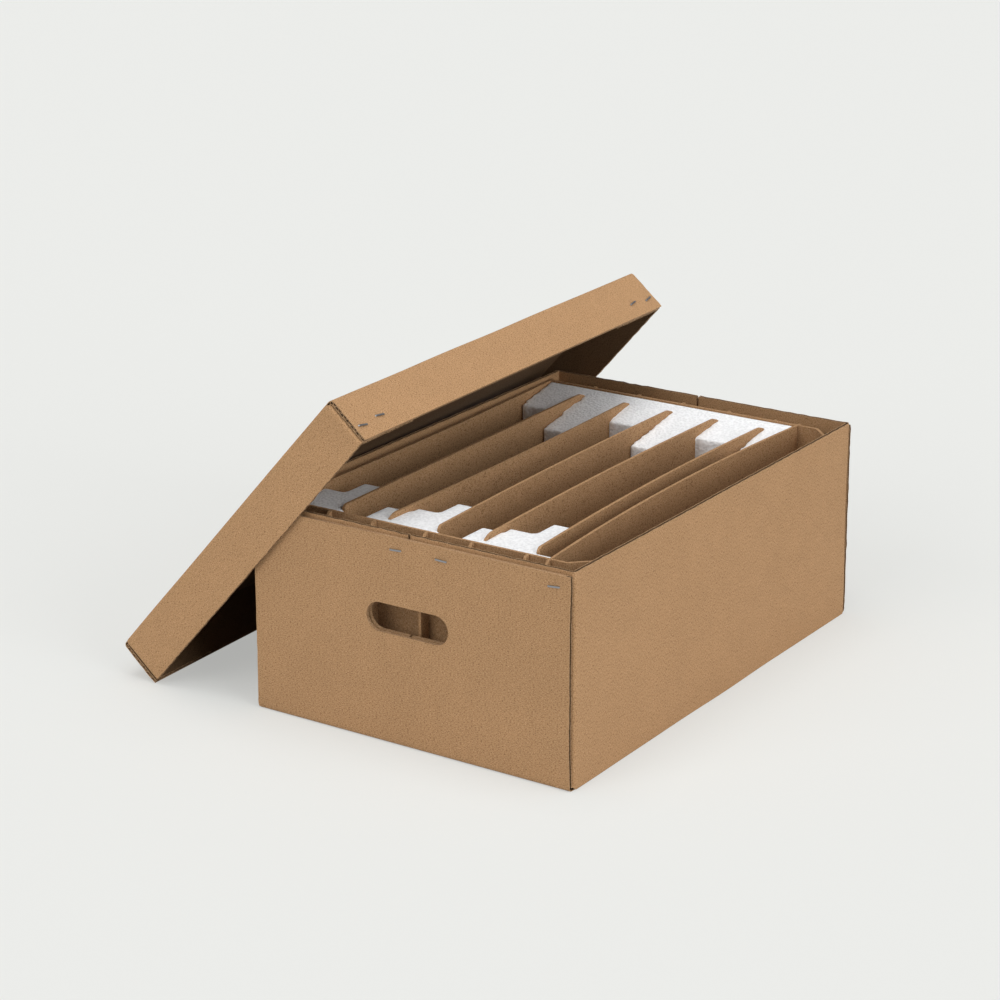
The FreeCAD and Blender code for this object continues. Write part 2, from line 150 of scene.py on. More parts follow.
class Graph:
    """A material's or a world's node tree."""

    def __init__(self, owner):
        owner.use_nodes = True
        self.tree = owner.node_tree
        self.tree.nodes.clear()

    def node(self, kind, settings=None, values=None, output=0):
        """Add a node, set it up, link or set its sockets, and return one of its outputs."""
        made = self.tree.nodes.new(kind)
        for name, value in (settings or {}).items():
            setattr(made, name, value)
        for name, value in (values or {}).items():
            if isinstance(value, Wire):
                self.tree.links.new(value.output, made.inputs[name])
            else:
                made.inputs[name].default_value = value
        return Wire(self, made.outputs[output]) if len(made.outputs) else None

    def mix(self, share, first, second, blend="MIX"):
        """Mix two colours."""
        settings = {"data_type": "RGBA", "blend_type": blend}
        return self.node("ShaderNodeMix", settings, {0: share, 6: first, 7: second}, output=2)

    def noise(self, place, scale, detail, roughness):
        values = {"Vector": place, "Scale": scale, "Detail": detail, "Roughness": roughness}
        return self.node("ShaderNodeTexNoise", {}, values)

    def stretch(self, place, scale):
        """The same place, with each direction scaled by its own amount."""
        return self.node("ShaderNodeMapping", {}, {"Vector": place, "Scale": scale})

    def spread(self, value, low, high):
        """Stretch the range low to high over 0 to 1, and cut off what lies outside."""
        values = {"Value": value, "From Min": low, "From Max": high}
        return self.node("ShaderNodeMapRange", {}, values)


print("shader classes ready:", Wire.__name__, Graph.__name__)

# %% [markdown]
# ## Kraft liner
# The outer paper of corrugated board is unbleached kraft: a warm brown with dark and light fibres,
# soft clouds from the pulp, and faint lines where the flutes press through from behind.
# An image could show all this, but noises at real scale do it without one and at any distance.
# Where the board is cut, the paper is rougher, and the gaps between its flutes get painted shade.

# %% Kraft materials
KRAFT = (0.412, 0.236, 0.114, 1.0)
KRAFT_LIGHT = (0.640, 0.425, 0.245, 1.0)
KRAFT_DARK = (0.165, 0.084, 0.034, 1.0)
C_FLUTE = 7.9 * MM
B_FLUTE = 6.4 * MM
GRAIN_SCALE = 1000.0
FIBRE_SCALE = 1300.0
FIBRE_STRETCH = (1.0, 0.35, 0.6)
STREAK_SCALE = 620.0
STREAK_STRETCH = (1.0, 0.03, 0.03)
BLOTCH_SCALE = 55.0
CLOUD_SCALE = 14.0
LIGHT_SHARE = 1.0
DARK_SHARE = 0.78
DULL_TINT = (0.90, 0.895, 0.885, 1.0)
BRIGHT_TINT = (1.06, 1.06, 1.06, 1.0)
KRAFT_BUMP = 0.2 * MM
BUMP_STRENGTH = 0.8
PAPER_SHINE = 0.25
FIBRE_EDGE = (0.52, 0.66)


def shade(colour, amount):
    """The same colour, lighter or darker."""
    return tuple(channel * amount for channel in colour[:3]) + (1.0,)


def sheet_place(graph, source):
    """A point's place on its sheet in metres, and how far it is along the row of flutes.
    The source is "uv" for the meshes made here, and an axis letter for a piece of the frame."""
    if source == "uv":
        place = graph.node("ShaderNodeTexCoord", output="UV")
    else:
        place = graph.node("ShaderNodeTexCoord", output="Object")
    across_flutes = {"uv": 0, "x": 0, "y": 1}[source]
    along = graph.node("ShaderNodeSeparateXYZ", {}, {0: place}, output=across_flutes)
    return place, along


def finish_surface(graph, colour, rough, height, distance):
    """Send a finish to the surface."""
    values = {"Height": height, "Strength": BUMP_STRENGTH, "Distance": distance}
    normal = graph.node("ShaderNodeBump", {}, values)
    values = {"Base Color": colour, "Roughness": rough, "Normal": normal}
    values["Specular IOR Level"] = PAPER_SHINE
    surface = graph.node("ShaderNodeBsdfPrincipled", {}, values)
    graph.node("ShaderNodeOutputMaterial", {}, {"Surface": surface})


def kraft(name, tone, source, flute, line_share):
    """Kraft liner. The tone is its lightness, and line_share how much its flutes show."""
    material = bpy.data.materials.new(name)
    graph = Graph(material)
    place, along = sheet_place(graph, source)
    grain = graph.noise(place, GRAIN_SCALE, 4.0, 0.75)
    fibres = graph.noise(graph.stretch(place, FIBRE_STRETCH), FIBRE_SCALE, 2.0, 0.6)
    streaks = graph.noise(graph.stretch(place, STREAK_STRETCH), STREAK_SCALE, 2.0, 0.6)
    clouds = graph.noise(place, CLOUD_SCALE, 4.0, 0.6)
    blotches = graph.noise(place, BLOTCH_SCALE, 3.0, 0.6)
    lines = (along * (2 * math.pi / flute)).sine()
    light = graph.spread(grain, *FIBRE_EDGE)
    dark = graph.spread(fibres, *FIBRE_EDGE)
    colour = graph.mix(light * LIGHT_SHARE, shade(KRAFT, tone), shade(KRAFT_LIGHT, tone))
    colour = graph.mix(dark * DARK_SHARE, colour, shade(KRAFT_DARK, tone))
    soft = clouds * 0.55 + blotches * 0.45 + streaks * 0.3 - 0.15 + lines * (0.05 * line_share)
    tint = graph.mix(graph.spread(soft, 0.2, 0.8), DULL_TINT, BRIGHT_TINT)
    colour = graph.mix(1.0, colour, tint, "MULTIPLY")
    height = grain * 0.14 + fibres * 0.16 + clouds * 0.25 + lines * (0.10 * line_share)
    finish_surface(graph, colour, grain * 0.14 + 0.76, height, KRAFT_BUMP)
    return material


print("kraft, as red, green and blue:", KRAFT[:3])

# %% Cut board
CUT_GRAIN_SCALE = 900.0
TORN_SCALE = 240.0
TORN_SHARE = 0.6
CUT_BUMP = 0.5 * MM


def cut_board(name, tone):
    """The cut edge of board: rough, with loose fibres. A low tone gives the painted shade between the
    liners.
    """
    material = bpy.data.materials.new(name)
    graph = Graph(material)
    place = graph.node("ShaderNodeTexCoord", output="Object")
    grain = graph.noise(place, CUT_GRAIN_SCALE, 4.0, 0.7)
    torn = graph.noise(place, TORN_SCALE, 3.0, 0.7)
    dark, light = shade(KRAFT_DARK, 1.1 * tone), shade(KRAFT_LIGHT, 0.9 * tone)
    colour = graph.mix(graph.spread(grain, 0.35, 0.7), dark, light)
    colour = graph.mix(graph.spread(torn, 0.5, 0.75) * TORN_SHARE, colour, shade(KRAFT_DARK, tone))
    finish_surface(graph, colour, grain * 0.1 + 0.86, grain * 0.6 + torn * 0.8, CUT_BUMP)
    return material


tray_liner = kraft("tray_liner", 1.0, "uv", C_FLUTE, 0.35)
lid_liner = kraft("lid_liner", 1.06, "uv", C_FLUTE, 0.25)
# The lid's inside is a third as light as its outside: painted shade under the leaning lid.
lid_inside_painted_shade = kraft("lid_inside_painted_shade", 0.34, "uv", C_FLUTE, 0.3)
divider_liner = kraft("divider_liner", 0.95, "y", B_FLUTE, 0.4)
panel_liner = kraft("panel_liner", 0.95, "x", B_FLUTE, 0.4)
cut_edge = cut_board("cut_edge", 1.1)
# The gaps between the liners get a darker cut board: painted shade in the open channels.
flute_gap_painted_shade = cut_board("flute_gap_painted_shade", 0.55)
liners = (tray_liner, lid_liner, lid_inside_painted_shade, divider_liner, panel_liner)
print("liners:", [m.name for m in liners])
print("cut board:", [m.name for m in (cut_edge, flute_gap_painted_shade)])

# %% [markdown]
# ## Meshes from grids
# A folded sheet is two liners with a fluted core between. Each liner is a grid that follows the
# sheet round its folds, so a small builder collects grids, keeps each point's place on the sheet as
# its texture place, and welds the seams at the end.

# %% A mesh builder
LINER = 0   # the paper outside
CUT = 1     # paper cut through, and the fluted core
INSIDE = 2  # the paper inside
# The DEPTH faces carry painted shade: the dark between the papers is in their colour.
DEPTH = 3   # the dark between the papers
WELD = 0.002 * MM
SHARP_ANGLE = math.radians(32)


class Maker:
    """Collects grids and single faces for one mesh."""

    def __init__(self):
        self.points, self.faces, self.places, self.finishes = [], [], [], []

    def face(self, corners, places, finish):
        self.faces.append(corners)
        self.places.extend(places)
        self.finishes.append(finish)

    def grid(self, points, places, finish):
        """Points are rows by columns by three, and places rows by columns by two."""
        rows, columns = points.shape[:2]
        start = len(self.points)
        self.points.extend(points.reshape(-1, 3).tolist())
        flat = places.reshape(-1, 2).tolist()
        for row in range(rows - 1):
            for column in range(columns - 1):
                first = row * columns + column
                ring = (first, first + columns, first + columns + 1, first + 1)
                self.face([start + k for k in ring], [flat[k] for k in ring], finish)

    def polygon(self, points, places, finish):
        start = len(self.points)
        self.points.extend(np.asarray(points).tolist())
        self.face(list(range(start, start + len(points))), np.asarray(places).tolist(), finish)

    def build(self, name, materials):
        mesh = bpy.data.meshes.new(name)
        mesh.from_pydata(self.points, [], self.faces)
        for material in materials:
            mesh.materials.append(material)
        mesh.polygons.foreach_set("material_index", self.finishes)
        layer = mesh.uv_layers.new(name="sheet")
        layer.data.foreach_set("uv", np.asarray(self.places, dtype=np.float32).ravel())
        edit = bmesh.new()
        edit.from_mesh(mesh)
        bmesh.ops.remove_doubles(edit, verts=edit.verts, dist=WELD)
        bmesh.ops.recalc_face_normals(edit, faces=edit.faces)
        edit.to_mesh(mesh)
        edit.free()
        mesh.polygons.foreach_set("use_smooth", [True] * len(mesh.polygons))
        mesh.set_sharp_from_angle(angle=SHARP_ANGLE)
        piece = bpy.data.objects.new(name, mesh)
        bpy.context.scene.collection.objects.link(piece)
        return piece


print("a mesh has four finishes:", LINER, CUT, INSIDE, DEPTH)

# %% Waves and marks
WAVES = 7


def ripple(first, second, length, seed):
    """A smooth irregular wave of about unit height over a surface, the same on every run."""
    random = np.random.default_rng(seed)
    total = np.zeros(np.broadcast(first, second).shape)
    for _ in range(WAVES):
        angle, phase = random.uniform(0, 2 * math.pi, 2)
        wave = 2 * math.pi / (length * random.uniform(0.6, 1.8))
        total = total + np.sin(wave * (first * math.cos(angle) + second * math.sin(angle)) + phase)
    return total / 3.0


def spaced(low, high, coarse, fine, spots, reach):
    """Marks from low to high at a coarse step, with fine ones within reach of the spots."""
    marks = [np.linspace(low, high, max(2, round((high - low) / coarse) + 1))]
    for spot in spots:
        near_low, near_high = max(low, spot - reach), min(high, spot + reach)
        if near_high > near_low:
            marks.append(np.arange(near_low, near_high, fine))
    merged = np.unique(np.concatenate(marks))
    limit = 0.4 * fine
    kept = [merged[0]]
    for mark in merged[1:-1]:
        if mark - kept[-1] > limit and merged[-1] - mark > limit:
            kept.append(mark)
    return np.array(kept + [merged[-1]])


print("marks on 100 mm:", len(spaced(0, 100 * MM, 10 * MM, 2 * MM, (50 * MM,), 5 * MM)))

# %% [markdown]
# ## Corrugated board
# Where the knife crosses the flutes, the edge shows a wave between two thin papers. Where it runs
# along them, the edge is a plain line. Every sheet here is a path with rounded folds, raised along
# its flutes, so a raised end that shows gets an open channel with a wavy ribbon standing in it.

# %% Paths with rounded folds
DENSE = 0.4 * MM
FOLD_STEPS = 7


class Path:
    """A sheet's centre line seen from its edge, with rounded folds."""

    def __init__(self, corners, radius):
        points, normals = [], []
        corners = [np.array(c, float) for c in corners]
        start = corners[0]
        for index in range(1, len(corners)):
            corner = corners[index]
            ahead = (corner - corners[index - 1]) / np.linalg.norm(corner - corners[index - 1])
            last = index == len(corners) - 1
            end = corner if last else corner - ahead * radius
            self.add_run(points, normals, start, end, ahead)
            if not last:
                after = (corners[index + 1] - corner) / np.linalg.norm(corners[index + 1] - corner)
                self.add_fold(points, normals, corner, ahead, after, radius)
                start = corner + after * radius
        self.points = np.array(points)
        self.normals = np.array(normals)
        steps = np.linalg.norm(np.diff(self.points, axis=0), axis=1)
        keep = np.concatenate([[True], steps > 1e-9])
        self.points, self.normals = self.points[keep], self.normals[keep]
        steps = np.linalg.norm(np.diff(self.points, axis=0), axis=1)
        self.marks = np.concatenate([[0.0], np.cumsum(steps)])
        self.length = self.marks[-1]

    def add_run(self, points, normals, start, end, ahead):
        count = max(2, int(np.linalg.norm(end - start) / DENSE))
        for share in np.linspace(0, 1, count):
            points.append(start + (end - start) * share)
            normals.append(np.array((-ahead[1], ahead[0])))

    def add_fold(self, points, normals, corner, ahead, after, radius):
        """A quarter turn from one run to the next."""
        centre = corner - ahead * radius + after * radius
        for share in np.linspace(0, math.pi / 2, FOLD_STEPS):
            outward = -after * math.cos(share) + ahead * math.sin(share)
            points.append(centre + outward * radius)
            heading = ahead * math.cos(share) + after * math.sin(share)
            normals.append(np.array((-heading[1], heading[0])))

    def at(self, marks):
        """Points and normals at the given lengths along the path."""
        points = np.stack([np.interp(marks, self.marks, self.points[:, k]) for k in (0, 1)], -1)
        normals = np.stack([np.interp(marks, self.marks, self.normals[:, k]) for k in (0, 1)], -1)
        return points, normals / np.linalg.norm(normals, axis=1, keepdims=True)


print("a 20 mm path with one fold is now, mm:",
      round(Path([(0, 0), (10 * MM, 0), (10 * MM, 10 * MM)], 2 * MM).length / MM, 1))

# %% Fluted sheets
BOARD = 4.0 * MM
PAPER = 0.75 * MM
CHANNEL = 5.0 * MM
RIBBON = 0.7 * MM
RIBBON_END = 0.5 * MM
RIBBON_STEPS = 10


def fluted_sheet(maker, path, along, across, place, warp, sheet, open_ends=(0, 1)):
    """One sheet: along holds the marks on the path, and across the heights, one row for each mark.
    place turns path coordinates and height into the frame's, and warp gives the sheet's waviness."""
    base, normal = path.at(along)
    marks = np.broadcast_to(along[:, None], across.shape)
    bend = warp(marks, across, sheet)
    sheet_places = np.stack([marks, across], -1)
    half = BOARD / 2

    def layer(offset, heights, swing):
        spot = base[:, None, :] + normal[:, None, :] * (offset + swing)[..., None]
        return place(spot[..., 0], spot[..., 1], heights)

    outer = layer(half + 0 * bend, across, bend)
    inner = layer(-half + 0 * bend, across, bend)
    maker.grid(outer, sheet_places, LINER)
    maker.grid(inner, sheet_places, INSIDE)
    rims = {}
    for end in (0, 1):  # the sheet's lower and upper edge
        column = -1 if end else 0
        sign = 1 if end else -1
        height, swing = across[:, column], bend[:, column]
        if end in open_ends:
            offsets = [half, half - PAPER, half - PAPER, PAPER - half, PAPER - half, -half]
            depths = [0, 0, CHANNEL, CHANNEL, 0, 0]
            add_ribbon(maker, path, along, height, swing, sign, place)
        else:
            offsets, depths = [half, -half], [0, 0]
        offsets = np.broadcast_to(np.array(offsets), (len(along), len(offsets)))
        heights = height[:, None] - sign * np.array(depths)[None, :]
        profile = layer(offsets, heights, np.broadcast_to(swing[:, None], offsets.shape))
        places = np.stack([np.broadcast_to(along[:, None], offsets.shape), offsets], -1)
        strips = ((0, 2, CUT), (1, 5, DEPTH), (4, 6, CUT)) if end in open_ends else ((0, 2, CUT),)
        for first, last, finish in strips:
            maker.grid(profile[:, first:last], places[:, first:last], finish)
        rims[end] = profile
    for row in (0, -1):
        high, low = rims[1][row][1:-1], rims[0][row][1:-1]
        ring = np.concatenate([outer[row], high, inner[row][::-1], low[::-1]])
        maker.polygon(ring, ring[:, 1:], CUT)


def add_ribbon(maker, path, along, height, swing, sign, place):
    """The fluted core where it shows at a cut end: a thin wave, ragged at its top."""
    marks = np.arange(along[0] + RIBBON_END, along[-1] - RIBBON_END, C_FLUTE / RIBBON_STEPS)
    base, normal = path.at(marks)
    wave = (BOARD / 2 - PAPER) * np.sin(2 * math.pi * marks / C_FLUTE)
    level = np.interp(marks, along, height)
    bend = np.interp(marks, along, swing)
    ragged = 0.15 * MM * (1 + ripple(marks, 0 * marks, 3 * MM, 5))
    slope = np.gradient(wave, marks)
    width = RIBBON / 2 * np.sqrt(1 + slope ** 2)
    deep = level - sign * (CHANNEL + 0.3 * MM)
    top = level - sign * np.clip(ragged, -0.3 * MM, 0.6 * MM)
    columns = [(-width, deep), (-width, top), (width, top), (width, deep), (-width, deep)]
    rows = []
    for offset, heights in columns:
        spot = base + normal * (wave + offset + bend)[:, None]
        rows.append(place(spot[:, 0], spot[:, 1], heights))
    points = np.stack(rows, 1)
    maker.grid(points, points[..., 1:], CUT)
    for row in (0, -1):
        maker.polygon(points[row][:4], points[row][:4, 1:], CUT)


print("board:", BOARD / MM, "mm, flutes every", C_FLUTE / MM, "mm")

# %% [markdown]
# ## Folded trays
# The tray and the lid are made alike. Two walls carry flaps that turn the corners, and the other
# two come up with the floor and cover those flaps. Two functions fold both, each in its own place.

# %% Fold a tray
PLY_GAP = 0.4 * MM
CREASE = 0.3 * MM
FOLD = BOARD / 2 + CREASE
STEP = 8.0 * MM
FOLD_STEP = 1.2 * MM
FOLD_REACH = 3 * MM
RIM_STEP = 1.5 * MM
RIM_REACH = 6 * MM
COVER = 2
LOW_EDGE = 0.4 * MM
WALL_EDGE_WAVE = 0.35 * MM
WALL_EDGE_LENGTH = 9 * MM


def flapped_walls(maker, span, reach, height, flap, place, warp):
    """Both walls that carry flaps."""
    near = BOARD * 1.5 + PLY_GAP
    side = BOARD / 2
    left = [(flap, near), (side, near), (side, reach - near), (flap, reach - near)]
    right = [(span - x, reach - y) for x, y in left]
    for number, corners in enumerate((left, right)):
        path = Path(corners, FOLD)
        folds = [flap - side, path.length - flap + side]
        along = spaced(0, path.length, STEP, FOLD_STEP, folds, FOLD_REACH)
        lift = BOARD + CREASE
        turns = [folds[0] - 2 * MM, folds[0] + 2 * MM, folds[1] - 2 * MM, folds[1] + 2 * MM]
        low = np.interp(along, turns, [lift, LOW_EDGE, LOW_EDGE, lift])
        share = spaced(0, 1, STEP / height, RIM_STEP / height, (0, 1), RIM_REACH / height)
        edge = WALL_EDGE_WAVE * ripple(along, 0 * along, WALL_EDGE_LENGTH, 11 + number)
        across = low[:, None] + share[None, :] * (height - LOW_EDGE + edge - low)[:, None]
        fluted_sheet(maker, path, along, across, place, warp, number, open_ends=(1,))


print("board folds at a radius of", round(FOLD / MM, 2), "mm")

# %% The sheet that covers the flaps
STAPLE_ROW = 12 * MM
STAPLE_STEP = 1.5 * MM
ROW_REACH = 14 * MM
COLUMN_REACH = 12 * MM
COVER_EDGE_WAVE = 0.3 * MM
COVER_EDGE_LENGTH = 8 * MM


def covering_sheet(maker, span, reach, height, drop, inset, place, warp, spots):
    """The floor with its two outer walls, with finer steps round the spots of its staples."""
    side = BOARD / 2
    top = height - drop
    corners = [(reach - side, top), (reach - side, side), (side, side), (side, top)]
    path = Path(corners, FOLD)
    tall = top - side
    folds = [tall, path.length - tall]
    fine = [STAPLE_ROW, *folds, path.length - STAPLE_ROW]
    along = spaced(0, path.length, STEP, STAPLE_STEP, fine, ROW_REACH)
    across = spaced(inset, span - inset, STEP, STAPLE_STEP, spots, COLUMN_REACH)
    edge = COVER_EDGE_WAVE * ripple(along, 0 * along, COVER_EDGE_LENGTH, 21)
    share = (across - inset) / (span - 2 * inset)
    low, high = inset + edge, span - inset - edge
    heights = low[:, None] + share[None, :] * (high - low)[:, None]

    def turned(a, b, c):
        return place(c, a, b)

    fluted_sheet(maker, path, along, heights, turned, warp, COVER)


print("its edge runs in and out by, mm:", COVER_EDGE_WAVE / MM)

# %% Where the staples are


def node_islands(node):
    """The centre of each separate solid of a node."""
    edit = bmesh.new()
    edit.from_mesh(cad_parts[node].data)
    bmesh.ops.remove_doubles(edit, verts=edit.verts, dist=0.001 * MM)
    left, centres = set(edit.verts), []
    while left:
        stack, found = [left.pop()], []
        while stack:
            vertex = stack.pop()
            found.append(vertex.co.copy())
            for link in vertex.link_edges:
                other = link.other_vert(vertex)
                if other in left:
                    left.remove(other)
                    stack.append(other)
        low = Vector(min(p[k] for p in found) for k in range(3))
        high = Vector(max(p[k] for p in found) for k in range(3))
        centres.append((low + high) / 2)
    edit.free()
    return centres


print("staples on the tray's front:", len(node_islands("body_staples_front")))

# %% [markdown]
# ## The tray
# The tray's walls aren't quite flat: board takes a soft wave as it dries, the end panels bulge a
# little, the front one's right edge stands off, and each staple pulls the liner in. Those are moves
# of up to 2 mm, made in the mesh, so that the light finds them.

# %% Measure the tray
tray_low, tray_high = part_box("box_body")
tray_size = tray_high - tray_low
END_DROP = 4.0 * MM
END_INSET = 2.0 * MM
FLAP_PARTING = 3.0 * MM
staple_spots = [c - tray_low for c in node_islands("body_staples_front")]
back_spots = [c - tray_low for c in node_islands("body_staples_back")]
print("tray, mm:", [round(v / MM, 1) for v in tray_size])

# %% Warp the tray
WALL_WAVE = 0.5 * MM
WALL_WAVE_LENGTH = 170 * MM
FLAP_FADE = 60 * MM
TOP_FADE = 30 * MM
BULGE = 0.65 * MM
FLARE = 1.8 * MM
FLARE_REACH = 34 * MM
COVER_WAVE = 0.18 * MM
COVER_WAVE_LENGTH = 120 * MM
FRONT_DENT = 1.1 * MM
BACK_DENT = 0.9 * MM
DENT_WIDTH = 5 * MM


def dent(first, second, spots, depth, width):
    """A soft dimple at each spot of a sheet."""
    total = 0.0
    for u, v in spots:
        total = total + np.exp(-((first - u) ** 2 + (second - v) ** 2) / (2 * width ** 2))
    return -depth * total


def tray_place(x, y, z):
    return np.stack([x + tray_low.x, y + tray_low.y, z + tray_low.z], -1)


def tray_warp(s, c, sheet):
    """How far each sheet of the tray stands out from flat."""
    if sheet < COVER:
        inward = np.clip(s / FLAP_FADE, 0, 1) * np.clip((tray_size.z - c) / TOP_FADE, 0.3, 1)
        return WALL_WAVE * ripple(s, c, WALL_WAVE_LENGTH, 31 + sheet) * inward - WALL_WAVE
    tall = tray_size.z - END_DROP - BOARD / 2
    full = 2 * tall + tray_size.y - BOARD
    upright = np.where((s > tall) & (s < full - tall), 0, 1)
    rise = np.where(s < full / 2, tall - s, s - (full - tall)) / tall
    bulge = BULGE * np.sin(math.pi * np.clip(rise, 0, 1)) * np.sin(math.pi * c / tray_size.x)
    drop = tray_size.z - END_DROP
    front = dent(c, s, [(p.x, full - (drop - p.z)) for p in staple_spots], FRONT_DENT, DENT_WIDTH)
    back = dent(c, s, [(p.x, drop - p.z) for p in back_spots], BACK_DENT, DENT_WIDTH)
    near_edge = np.exp(-(tray_size.x - c) / FLARE_REACH) * np.where(s > full / 2, 1, 0)
    flare = FLARE * near_edge * np.clip((1 - rise) * 4, 0, 1) * np.clip(rise * 6, 0, 1)
    wave = COVER_WAVE * ripple(s, c, COVER_WAVE_LENGTH, 41) * np.clip(rise * 4, 0, 1)
    return upright * (flare + bulge + wave + front + back)


print("the front's right edge stands off by", FLARE / MM, "mm")

# %% Cut the hand holes
HAND_HOLE = (95.5 * MM, 30.0 * MM)
HAND_HOLE_LEVEL = 129.7 * MM
CUT_IN = 14 * MM
CUT_OUT = 20 * MM
ROUND_STEPS = 15


def hand_hole_cutter():
    """Two long blocks with round ends, one through each end panel."""
    edit = bmesh.new()
    radius = HAND_HOLE[1] / 2
    ring = []
    for side in (1, -1):
        centre = side * (HAND_HOLE[0] / 2 - radius)
        for turn in np.linspace(-math.pi / 2, math.pi / 2, ROUND_STEPS):
            ring.append((centre + side * radius * math.cos(turn), side * radius * math.sin(turn)))
    middle = tray_low.x + tray_size.x / 2
    level = tray_low.z + HAND_HOLE_LEVEL
    far = tray_size.y
    for start, end in ((-CUT_OUT, CUT_IN), (far - CUT_IN, far + CUT_OUT)):
        front = [edit.verts.new((middle + x, tray_low.y + start, level + z)) for x, z in ring]
        back = [edit.verts.new((middle + x, tray_low.y + end, level + z)) for x, z in ring]
        edit.faces.new(front)
        edit.faces.new(back[::-1])
        for k in range(len(ring)):
            after = (k + 1) % len(ring)
            edit.faces.new((front[k], back[k], back[after], front[after]))
    bmesh.ops.recalc_face_normals(edit, faces=edit.faces)
    mesh = bpy.data.meshes.new("hand_hole_cutter")
    edit.to_mesh(mesh)
    edit.free()
    mesh.materials.append(tray_liner)
    mesh.materials.append(cut_edge)
    mesh.polygons.foreach_set("material_index", [CUT] * len(mesh.polygons))
    cutter = bpy.data.objects.new("hand_hole_cutter", mesh)
    bpy.context.scene.collection.objects.link(cutter)
    return cutter


def cut_away(piece, cutter):
    """Take the cutter out of the piece for good."""
    modifier = piece.modifiers.new("cut", "BOOLEAN")
    modifier.operation = "DIFFERENCE"
    modifier.solver = "EXACT"
    modifier.object = cutter
    bpy.context.view_layer.update()
    shape = bpy.data.meshes.new_from_object(piece.evaluated_get(bpy.context.evaluated_depsgraph_get()))
    piece.modifiers.clear()
    piece.data = shape
    bpy.data.objects.remove(cutter)


print("hand hole, mm:", [v / MM for v in HAND_HOLE])

# %% Fold the tray
maker = Maker()
tray_flap = (tray_size.x - FLAP_PARTING) / 2
flapped_walls(maker, *tray_size, tray_flap, tray_place, tray_warp)
staple_columns = [p.x for p in staple_spots]
covering_sheet(maker, *tray_size, END_DROP, END_INSET, tray_place, tray_warp, staple_columns)
tray = maker.build("tray_board", [tray_liner, cut_edge, tray_liner, flute_gap_painted_shade])
cut_away(tray, hand_hole_cutter())
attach(tray, "root")
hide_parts("box_body")
print("tray faces:", len(tray.data.polygons))

# %% [markdown]
# ## The lid
# The lid leans, so its sheet is easiest to fold in its own axes. They are read from the frame: the
# widest face gives the way out of the lid's top, and the fold line is level.

# %% Find the lid's own axes


def lid_axes():
    """The lid's corner, and its directions along its length, up the slope and out of its open side."""
    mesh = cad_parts["lid"].data
    widest = max(mesh.polygons, key=lambda p: p.area)
    outward = widest.normal.copy()
    level = Vector((0, 0, 1)).cross(outward).normalized()
    length = level if level.y > 0 else -level
    points = np.array([v.co for v in mesh.vertices])
    depths = points @ np.array(outward)
    inner = abs(depths.max() - widest.center.dot(outward)) > 1 * MM
    opening = outward if inner else -outward
    slope = opening.cross(length)
    basis = np.array([length, slope, opening])
    local = points @ basis.T
    return basis, local.min(0), local.max(0)


lid_basis, lid_low, lid_high = lid_axes()
lid_size = lid_high - lid_low
lid_spots = [np.array(c) @ lid_basis.T - lid_low for c in node_islands("lid_staples")]
print("lid, mm:", [round(v / MM) for v in lid_size], "with", len(lid_spots), "staples")

# %% Warp the lid
LID_WALL_WAVE = 0.35 * MM
LID_WALL_LENGTH = 140 * MM
LID_SAG = 1.2 * MM
SAG_FADE = 30 * MM
LID_DENT = 0.8 * MM
LID_DENT_WIDTH = 4.5 * MM
LID_COVER_WAVE = 0.25 * MM
LID_COVER_LENGTH = 110 * MM
RIM_FADE = 20 * MM
LID_RELIEF = 0.2 * MM


def lid_place(x, y, z):
    local = np.stack([x + lid_low[0], y + lid_low[1], z + lid_low[2]], -1)
    return local @ lid_basis


def lid_warp(s, c, sheet):
    """The lid's soft waves, and the dents of its staples."""
    if sheet < COVER:
        inward = np.clip(s / FLAP_FADE, 0, 1)
        return LID_WALL_WAVE * ripple(s, c, LID_WALL_LENGTH, 51 + sheet) * inward - LID_WALL_WAVE
    tall = lid_size[2] - BOARD / 2
    full = 2 * tall + lid_size[1] - BOARD
    top = np.clip((s - tall) / SAG_FADE, 0, 1) * np.clip((full - tall - s) / SAG_FADE, 0, 1)
    sag = -LID_SAG * top * np.clip(np.sin(math.pi * c / lid_size[0]), 0, 1)
    spots = []
    for spot in lid_spots:
        low_side = spot[1] < lid_size[1] / 2
        from_edge = lid_size[2] - spot[2]
        spots.append((spot[0], full - from_edge if low_side else from_edge))
    dents = dent(c, s, spots, LID_DENT, LID_DENT_WIDTH)
    rim = np.clip(np.minimum(s, full - s) / RIM_FADE, 0.2, 1)
    wave = LID_COVER_WAVE * ripple(s, c, LID_COVER_LENGTH, 61) * rim
    return sag + dents + wave - LID_RELIEF


print("the lid's top sags by", LID_SAG / MM, "mm")

# %% Fold the lid
RIM_FLAP = 92.0 * MM
RIM_DROP = 0.0
RIM_INSET = 2.0 * MM
maker = Maker()
flapped_walls(maker, *lid_size, RIM_FLAP, lid_place, lid_warp)
staple_columns = [p[0] for p in lid_spots]
covering_sheet(maker, *lid_size, RIM_DROP, RIM_INSET, lid_place, lid_warp, staple_columns)
lid = maker.build("lid_board", [lid_liner, cut_edge, lid_inside_painted_shade, flute_gap_painted_shade])
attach(lid, "root")
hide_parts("lid")
print("lid faces:", len(lid.data.polygons))

# %% [markdown]
# ## The partition
# The dividers and end panels are thin single sheets whose shape the frame already holds. They keep
# their own meshes and get kraft with finer flutes, and a slight rounding of their cut edges.

# %% Finish the partition
SHEET_ROUNDING = 0.35 * MM


def dress(node, material, rounding):
    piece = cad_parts[node]
    piece.data.materials.clear()
    piece.data.materials.append(material)
    bevel = piece.modifiers.new("soft_edges", "BEVEL")
    bevel.width = rounding
    bevel.segments = 2
    bevel.limit_method = "ANGLE"
    bevel.angle_limit = math.radians(50)


